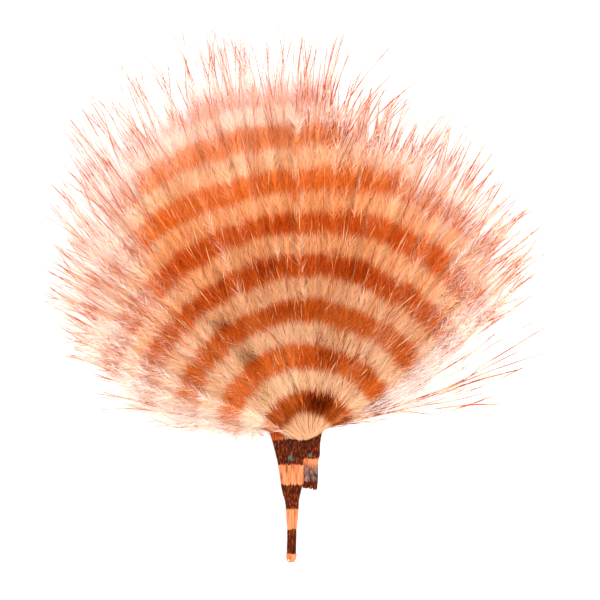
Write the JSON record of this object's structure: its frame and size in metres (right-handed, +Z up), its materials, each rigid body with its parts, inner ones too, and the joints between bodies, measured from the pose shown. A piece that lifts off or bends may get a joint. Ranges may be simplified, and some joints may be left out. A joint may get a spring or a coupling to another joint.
{
  "type": "marabou feather",
  "caption": "Fluffy barred marabou feather: downy barbs fan out from a flat quill that tapers to its cut end. It lies flat.",
  "frame": {"origin": "middle of the footprint's bounding box, on the surface that the feather lies on", "axes": "+Y from the quill's cut end towards the top of the fan, +Z up from the underside to the face with the quill in front"},
  "size_m": [0.1066, 0.1107, 0.0086],
  "materials": {
    "down": "soft, matt, dyed orange with darker rust bars",
    "quill": "dyed keratin, satin, grooved lengthwise, with nearly black bars"
  },
  "bodies": {
    "root": {"feather": "down"}
  },
  "joints": []
}
